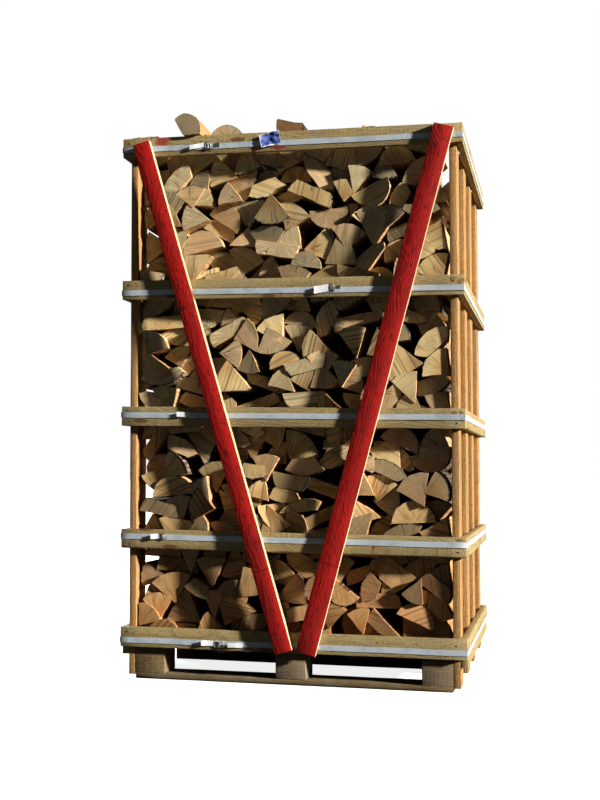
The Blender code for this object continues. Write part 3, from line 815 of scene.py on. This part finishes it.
def nail_places():
    """Where nails were driven, and which way each one's head faces."""
    front, back = -DEPTH / 2, DEPTH / 2
    for top, tilt in zip(RAIL_TOPS, RAIL_TILTS):
        for across, drop in ((-0.545, 0.050), (-0.553, 0.016), (0.540, 0.021), (0.549, 0.047)):
            yield (across, front, top - drop + tilt * across), (0, -1, 0)
            yield (across, back, top - drop + tilt * across), (0, 1, 0)
        for number in range(1, 5):
            low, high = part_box(f"slat_left_{number}")
            middle = (low.y + high.y) / 2 - CRATE_Y
            for across in (-WIDTH / 2, WIDTH / 2):
                for along, drop in ((-0.022, 0.018), (0.024, 0.047)):
                    height = top - drop + tilt * across
                    yield (across, middle + along, height), (math.copysign(1, across), 0, 0)
        for foot, head, width, thickness in BRACES.values():
            face = front - STRAP_THICKNESS - 2 * TOUCH - thickness
            for aside, drop in ((-0.012, 0.014), (0.011, 0.052)):
                height = top - drop
                share = (height - foot[1]) / (head[1] - foot[1])
                if 0.02 < share < 0.98:
                    yield (foot[0] + share * (head[0] - foot[0]) + aside, face, height), (0, -1, 0)


def make_nails(material):
    nails = bmesh.new()
    for place, way in nail_places():
        outward = Vector(way)
        turn = outward.to_track_quat("Z", "Y").to_matrix().to_4x4()
        middle = out_of_plumb(place) + outward * (NAIL_PROUD - NAIL_DEPTH / 2)
        bmesh.ops.create_cone(nails, cap_ends=True, segments=8, radius1=NAIL_RADIUS, radius2=NAIL_RADIUS * 0.86,
                              depth=NAIL_DEPTH, matrix=Matrix.Translation(middle) @ turn)
    show("nail_heads", nails, material)


# Firewood

def split_stem(radius, splits, draw):
    """The end of one log about its pith: a round stem, split by the axe along planes."""
    section = bmesh.new()
    bmesh.ops.create_circle(section, cap_ends=True, segments=STEM_SIDES, radius=radius, matrix=UPRIGHT)
    bmesh.ops.rotate(section, verts=section.verts, matrix=Matrix.Rotation(draw.uniform(0, 1), 3, "Y"))
    squash = (draw.uniform(0.90, 1.0), 1, draw.uniform(0.90, 1.0))
    bmesh.ops.scale(section, verts=section.verts, vec=squash)
    for facing, distance in splits:
        angle = math.radians(facing)
        outward = Vector((math.cos(angle), 0, math.sin(angle)))
        bmesh.ops.bisect_plane(section, geom=section.verts[:] + section.edges[:] + section.faces[:],
                               plane_co=outward * distance, plane_no=outward, clear_outer=True)
    bmesh.ops.remove_doubles(section, verts=section.verts, dist=0.004)
    return section


def split_any_stem(draw):
    """A log with its bark side towards +X, and the turn in degrees that someone stacks it with."""
    kind = draw.random()
    opening = 180
    extra = []
    if kind < 0.34:
        opening = draw.uniform(52, 94)
        radius = draw.uniform(0.078, 0.112)
    elif kind < 0.62:
        opening = draw.uniform(42, 82)
        radius = draw.uniform(0.098, 0.130)
        outside = radius * math.cos(math.radians(opening / 2))
        extra.append((draw.uniform(-18, 18), outside * draw.uniform(0.98, 1.05)))
    elif kind < 0.73:
        radius = draw.uniform(0.054, 0.078)
    elif kind < 0.83:
        radius = draw.uniform(0.066, 0.084)
        extra.append((draw.uniform(-6, 6), draw.uniform(0.038, 0.052)))
    else:
        opening = draw.uniform(54, 84)
        radius = draw.uniform(0.108, 0.134)
        extra.append((180 + draw.uniform(-12, 12), -draw.uniform(0.42, 0.58) * radius))
    splits = [(opening / 2 + 90, draw.uniform(-0.004, 0.004)), (-opening / 2 - 90, draw.uniform(-0.004, 0.004))]
    splits += extra
    turns = [90, 90, -90, opening / 2, 180 - opening / 2, draw.uniform(0, 360)]
    turn = draw.choice(turns) + draw.gauss(0, 8)
    return split_stem(radius, splits, draw), math.radians(turn)


class Settling:
    """The log ends of one tier, which drop, turn and push one another apart until they lie as a stack."""

    def __init__(self, outlines, turns, seed):
        self.random = np.random.default_rng(seed)
        most = max(len(outline) for outline in outlines)
        self.outlines = np.array([outline + [outline[-1]] * (most - len(outline)) for outline in outlines])
        self.radius = np.linalg.norm(self.outlines, axis=2).max(1)
        self.inertia = 0.45 * self.radius ** 2
        count = len(outlines)
        rows = round(math.sqrt(1.25 * count * (STACK_TOP - STACK_BOTTOM) / (2 * STACK_HALF_WIDTH)))
        row, column = np.divmod(np.arange(count) * rows / count, 1.0)
        self.middle = np.stack([(2 * column - 1) * STACK_HALF_WIDTH,
                                STACK_BOTTOM + (row + 0.5) * (STACK_TOP - STACK_BOTTOM) / rows], 1)
        self.middle += self.random.uniform(-0.02, 0.02, (count, 2))
        self.turn = np.array(turns)
        self.move = np.zeros((count, 2))
        self.spin = np.zeros(count)
        self.touches = np.zeros(count)
        self.one = self.other = None

    def corners(self, scale):
        cosine = np.cos(self.turn)[:, None] * scale
        sine = np.sin(self.turn)[:, None] * scale
        x, z = self.outlines[:, :, 0], self.outlines[:, :, 1]
        return np.stack([x * cosine - z * sine, x * sine + z * cosine], 2) + self.middle[:, None]

    def leverage(self, logs, place, way):
        arm = place - self.middle[logs]
        return arm[:, 0] * way[:, 1] - arm[:, 1] * way[:, 0]

    def push(self, logs, place, way, amount):
        np.add.at(self.move, logs, way * amount[:, None])
        np.add.at(self.spin, logs, self.leverage(logs, place, way) * amount / self.inertia[logs])
        np.add.at(self.touches, logs, 1)

    def shallowest_side(self, corners, ways, first, second):
        """How far each second log is clear of its first, along which way, and with which corner."""
        depth = np.einsum("pek,pvk->pev", ways[first], corners[second])
        depth -= np.einsum("pek,pek->pe", ways[first], corners[first])[:, :, None]
        side = depth.min(2).argmax(1)
        pair = np.arange(len(first))
        corner = depth[pair, side].argmin(1)
        return depth[pair, side, corner], ways[first, side], corners[second, corner]

    def part_neighbours(self, corners):
        edges = np.roll(corners, -1, 1) - corners
        length = np.linalg.norm(edges, axis=2)
        ways = np.stack([edges[:, :, 1], -edges[:, :, 0]], 2) / np.maximum(length, 1e-9)[:, :, None]
        ways[length < 1e-6] = ways[:, 0][np.nonzero(length < 1e-6)[0]]
        clear, way, place = self.shallowest_side(corners, ways, self.one, self.other)
        clear_back, way_back, place_back = self.shallowest_side(corners, ways, self.other, self.one)
        back = clear_back > clear
        clear = np.where(back, clear_back, clear)
        way = np.where(back[:, None], -way_back, way)
        place = np.where(back[:, None], place_back, place)
        deep = clear < 0
        one, other, way, place = self.one[deep], self.other[deep], way[deep], place[deep]
        give = 2 + self.leverage(one, place, way) ** 2 / self.inertia[one]
        give += self.leverage(other, place, way) ** 2 / self.inertia[other]
        self.push(one, place, -way, -clear[deep] / give)
        self.push(other, place, way, -clear[deep] / give)

    def keep_inside(self, corners):
        walls = (((1, 0), STACK_HALF_WIDTH), ((-1, 0), STACK_HALF_WIDTH), ((0, 1), -STACK_BOTTOM), ((0, -1), STACK_TOP))
        for inward, room in walls:
            clear = corners @ np.array(inward) + room
            corner = clear.argmin(1)
            logs = np.nonzero(clear.min(1) < 0)[0]
            place = corners[logs, corner[logs]]
            way = np.tile(np.array(inward, float), (len(logs), 1))
            give = 1 + self.leverage(logs, place, way) ** 2 / self.inertia[logs]
            self.push(logs, place, way, -clear.min(1)[logs] / give)

    def run(self):
        for step in range(SETTLE_STEPS):
            done = step / SETTLE_STEPS
            scale = SETTLE_START + (1 - SETTLE_START) * min(1, 2 * done)
            if step % 5 == 0:
                away = np.linalg.norm(self.middle[:, None] - self.middle[None], axis=2)
                near = away < (self.radius[:, None] + self.radius[None]) * scale + 0.01
                self.one, self.other = np.nonzero(np.triu(near, 1))
            corners = self.corners(scale)
            self.part_neighbours(corners)
            self.keep_inside(corners)
            ease = 1 / np.maximum(1, 0.4 * self.touches)
            self.middle += self.move * ease[:, None]
            self.turn += self.spin * ease
            if done < 0.35:
                self.middle += self.random.normal(0, 0.0015, self.middle.shape)
                self.turn += self.random.normal(0, 0.01, self.turn.shape)
            if done < 0.85:
                self.middle += np.array(SETTLE_PULL) * (1 - done)
            self.move[:] = 0
            self.spin[:] = 0
            self.touches[:] = 0


def stack_logs(seed):
    """The ends of one tier's logs, each with its middle, its place in the stack and its turn."""
    draw = random.Random(seed)
    room = STACK_FILL * 2 * STACK_HALF_WIDTH * (STACK_TOP - STACK_BOTTOM)
    sections = []
    middles = []
    outlines = []
    turns = []
    while room > 0:
        section, turn = split_any_stem(draw)
        turns.append(turn)
        face = section.faces[:][0]
        room -= face.calc_area()
        middle = face.calc_center_median_weighted()
        points = [(vertex.co.x - middle.x, vertex.co.z - middle.z) for vertex in face.verts]
        if face.normal.y > 0:
            points.reverse()
        sections.append(section)
        middles.append(middle)
        outlines.append(points)
    settling = Settling(outlines, turns, seed)
    settling.run()
    places = [Vector((x, 0, z)) for x, z in settling.middle.tolist()]
    return zip(sections, middles, places, settling.turn.tolist()), draw


def grow_log(log, middle, draw, length):
    """Turn the flat end of a log into the whole log: torn sides, sawn ends, a tone and maybe bark."""
    heart = log.verts.layers.float_vector.new("heart")
    look = log.faces.layers.float_vector.new("look")
    straight = [edge for edge in log.edges if edge.calc_length() > 0.036]
    bmesh.ops.subdivide_edges(log, edges=straight, cuts=2)
    grown = bmesh.ops.extrude_face_region(log, geom=log.faces[:])["geom"]
    far = [item for item in grown if isinstance(item, bmesh.types.BMVert)]
    bmesh.ops.translate(log, verts=far, vec=(0, length, 0))
    bmesh.ops.recalc_face_normals(log, faces=log.faces)
    if log.calc_volume(signed=True) < 0:
        bmesh.ops.reverse_faces(log, faces=log.faces)
    runs = [edge for edge in log.edges if abs(edge.verts[0].co.y - edge.verts[1].co.y) > length / 2]
    bmesh.ops.subdivide_edges(log, edges=runs, cuts=2, use_grid_fill=True)
    log.normal_update()
    ends = [face for face in log.faces if abs(face.normal.y) > 0.9]
    rims = bmesh.ops.inset_individual(log, faces=ends, thickness=draw.uniform(0.0015, 0.0035))["faces"]
    tone = draw.random()
    barked = draw.random() < BARKED_SHARE
    sides = [face for face in log.faces if face not in ends and face not in rims]
    barks = set()
    for face in sides:
        outward = face.calc_center_median()
        outward.y = 0.0
        if barked and face.normal.dot(outward.normalized()) > 0.75:
            barks.add(face)
    for face in log.faces:
        is_bark = face in barks or any(side in barks for edge in face.edges for side in edge.link_faces)
        is_bark = is_bark and face not in ends and (face in rims or face in barks)
        face[look] = (tone, float(is_bark), float(face in ends or face in rims))
    tilt_x, tilt_z = (math.tan(math.radians(draw.gauss(0, 4))) for _ in range(2))
    drift = Vector((draw.uniform(0, 90), 0, draw.uniform(0, 90)))
    for vertex in log.verts:
        place = vertex.co
        vertex[heart] = place + Vector((0, drift.x, 0))
        rough = noise.noise_vector(place * 30 + drift) * 0.003 + noise.noise_vector(place * 90 + drift) * 0.001
        if place.y < 0.01 or place.y > length - 0.01:
            rough.y = (place.x - middle.x) * tilt_x + (place.z - middle.z) * tilt_z
        vertex.co = place + rough


def lay_log(log, middle, turn, place):
    """Turn a log about its middle and move it there in the stack."""
    bmesh.ops.rotate(log, verts=log.verts, cent=middle, matrix=Matrix.Rotation(-turn, 3, "Y"))
    bmesh.ops.translate(log, verts=log.verts, vec=place - middle)


def end_reach(node, place, draw):
    """How far one log stands out of its tier."""
    if node == "firewood_middle":
        return -draw.uniform(0.0, 0.012)
    reach = draw.choice(END_REACHES) + draw.uniform(-0.003, 0.003)
    if node == "firewood_front":
        for brace, (foot, head, width, thickness) in BRACES.items():
            share = (place.z - foot[1]) / (head[1] - foot[1])
            aside = foot[0] + share * (head[0] - foot[0]) - place.x
            for start, end, band_reach in BRACE_BANDS[brace]:
                if start < aside < end:
                    reach = band_reach + draw.uniform(-0.004, 0.002)
    if any(0 < top - place.z < RAIL_HEIGHT + RAIL_SHADE for top in RAIL_TOPS[1:]):
        reach = min(reach, PUSHED_REACH + draw.uniform(-0.010, 0.010))
    return reach


def make_tier(node, seed, near, material):
    stack = bmesh.new()
    logs, draw = stack_logs(seed)
    for log, middle, place, turn in logs:
        reach = end_reach(node, place, draw)
        grow_log(log, middle, draw, TIER_LENGTH + reach)
        lay_log(log, middle, turn, place + Vector((0, near - reach, 0)))
        join(stack, log)
    if node == "firewood_back":
        bmesh.ops.rotate(stack, verts=stack.verts, cent=(0, near + TIER_LENGTH / 2, 0),
                         matrix=Matrix.Rotation(math.pi, 3, "Z"))
    for vertex in stack.verts:
        vertex.co = out_of_plumb(vertex.co)
    show(f"{node}_logs", stack, material, [node])


def make_loose_logs(materials):
    """Single logs that lie on the stack or across the top rail, with their colour darkened."""
    draw = random.Random(21)
    rests = {"rail": RAIL_TOPS[-1] + TOUCH, "stack": STACK_TOP + TOUCH}
    for node, ((across, front), radius, rest, splits) in LOOSE_LOGS.items():
        log = split_stem(radius, splits, draw)
        face = log.faces[:][0]
        lowest = min(vertex.co.z for vertex in log.verts)
        grow_log(log, face.calc_center_median(), draw, LOOSE_LENGTH)
        bmesh.ops.translate(log, verts=log.verts, vec=(across, front, rests[rest] - lowest))
        for vertex in log.verts:
            vertex.co = out_of_plumb(vertex.co)
        slot = "oak_bark" if node == "loose_log_right" else "split_oak"
        show(f"{node}_wood", log, materials[slot], [node])


def make_firewood(material):
    near = TIER_NEAR
    for node, seed in TIER_SEEDS.items():
        make_tier(node, seed, near, material)
        near += TIER_LENGTH + TIER_GAP


# Camera, light and floor

def make_camera():
    data = bpy.data.cameras.new("camera")
    data.lens = CAMERA_LENS
    camera = bpy.data.objects.new("camera", data)
    turn = (Matrix.Rotation(math.radians(CAMERA_HEADING), 4, "Z")
            @ Matrix.Rotation(math.radians(90 + CAMERA_PITCH), 4, "X")
            @ Matrix.Rotation(math.radians(CAMERA_ROLL), 4, "Z"))
    camera.matrix_world = Matrix.Translation(CAMERA_PLACE) @ turn
    bpy.context.collection.objects.link(camera)
    bpy.context.scene.camera = camera
    bpy.context.scene.view_settings.view_transform = "Standard"


def make_light():
    for name, (place, power, softness, colour) in LIGHTS.items():
        data = bpy.data.lights.new(name, "SUN")
        data.energy = power
        data.angle = math.radians(softness)
        data.color = colour
        light = bpy.data.objects.new(name, data)
        light.rotation_euler = Vector(place).to_track_quat("Z", "Y").to_euler()
        bpy.context.collection.objects.link(light)
    world = bpy.data.worlds.new("studio")
    bpy.context.scene.world = world
    world.use_nodes = True
    tree = Tree(world.node_tree.nodes, world.node_tree.links)
    shown = tree.add("ShaderNodeBackground", {"Color": (1.0, 1.0, 1.0, 1.0), "Strength": 1.0})
    lit = tree.add("ShaderNodeBackground", {"Color": (0.80, 0.90, 1.0, 1.0), "Strength": SKY_POWER})
    seen = tree.add("ShaderNodeLightPath").outputs["Is Camera Ray"]
    both = tree.add("ShaderNodeMixShader", {0: seen, 1: lit.outputs[0], 2: shown.outputs[0]})
    tree.links.new(both.outputs[0], world.node_tree.nodes["World Output"].inputs["Surface"])


def make_floor():
    shape = bmesh.new()
    bmesh.ops.create_circle(shape, cap_ends=True, segments=64, radius=60)
    mesh = bpy.data.meshes.new("floor")
    bmesh.ops.translate(shape, verts=shape.verts, vec=(0, 0, -0.0005))
    shape.to_mesh(mesh)
    shape.free()
    material, tree, shader = new_material("pale_floor")
    seen = tree.add("ShaderNodeLightPath").outputs["Is Camera Ray"]
    tree.feed(shader.inputs["Base Color"], tree.mix(seen, FLOOR_BOUNCE, (0.86, 0.86, 0.86)))
    tree.feed(shader.inputs["Emission Strength"], tree.math("MULTIPLY", seen, FLOOR_GLOW))
    shader.inputs["Emission Color"].default_value = (1, 1, 1, 1)
    shader.inputs["Specular IOR Level"].default_value = 0.0
    shader.inputs["Roughness"].default_value = 0.9
    mesh.materials.append(material)
    floor = bpy.data.objects.new("floor", mesh)
    bpy.context.collection.objects.link(floor)


def main():
    make_camera()
    make_light()
    make_floor()
    grain = make_sawn_grain()
    logs = make_oak_log()
    materials = {
        "bare_pine": make_pine("bare_pine", grain, (0.31, 0.24, 0.105), (0.19, 0.13, 0.05), 1.0, 0.35),
        "slat_pine": make_pine("slat_pine", grain, (0.33, 0.19, 0.065), (0.20, 0.095, 0.03), 1.0, 0.15),
        "pallet_pine": make_pine("pallet_pine", grain, (0.16, 0.112, 0.050), (0.088, 0.057, 0.025), 1.0, 0.6),
        "red_paint": make_red_paint(grain),
        "split_oak": make_oak("split_oak", logs, 0.0),
        # Copies of the oak with darkened colour, for the loose logs on top
        "darkened_oak": make_oak("darkened_oak", logs, 0.12),
        "dark_oak": make_oak("dark_oak", logs, 0.95),
        "strap": make_plastic("strap_plastic", (0.40, 0.46, 0.515), (0.29, 0.34, 0.385), 0.32),
        "tail": make_plastic("strap_tail_plastic", (0.66, 0.69, 0.71), (0.50, 0.53, 0.56), 0.30),
        "film": make_film(),
        "buckle": make_metal("buckle_steel", (0.62, 0.62, 0.62), (0.25, 0.22, 0.19), 0.28),
        "nail": make_metal("nail_iron", (0.16, 0.14, 0.12), (0.07, 0.045, 0.03), 0.5),
    }
    make_boards(materials)
    make_braces(materials["red_paint"])
    make_straps(materials["strap"])
    make_fastenings(materials)
    make_blue_film(materials["film"])
    make_nails(materials["nail"])
    make_chips(materials["split_oak"])
    make_firewood(materials["split_oak"])
    make_loose_logs({"split_oak": materials["darkened_oak"], "oak_bark": materials["dark_oak"]})


main()
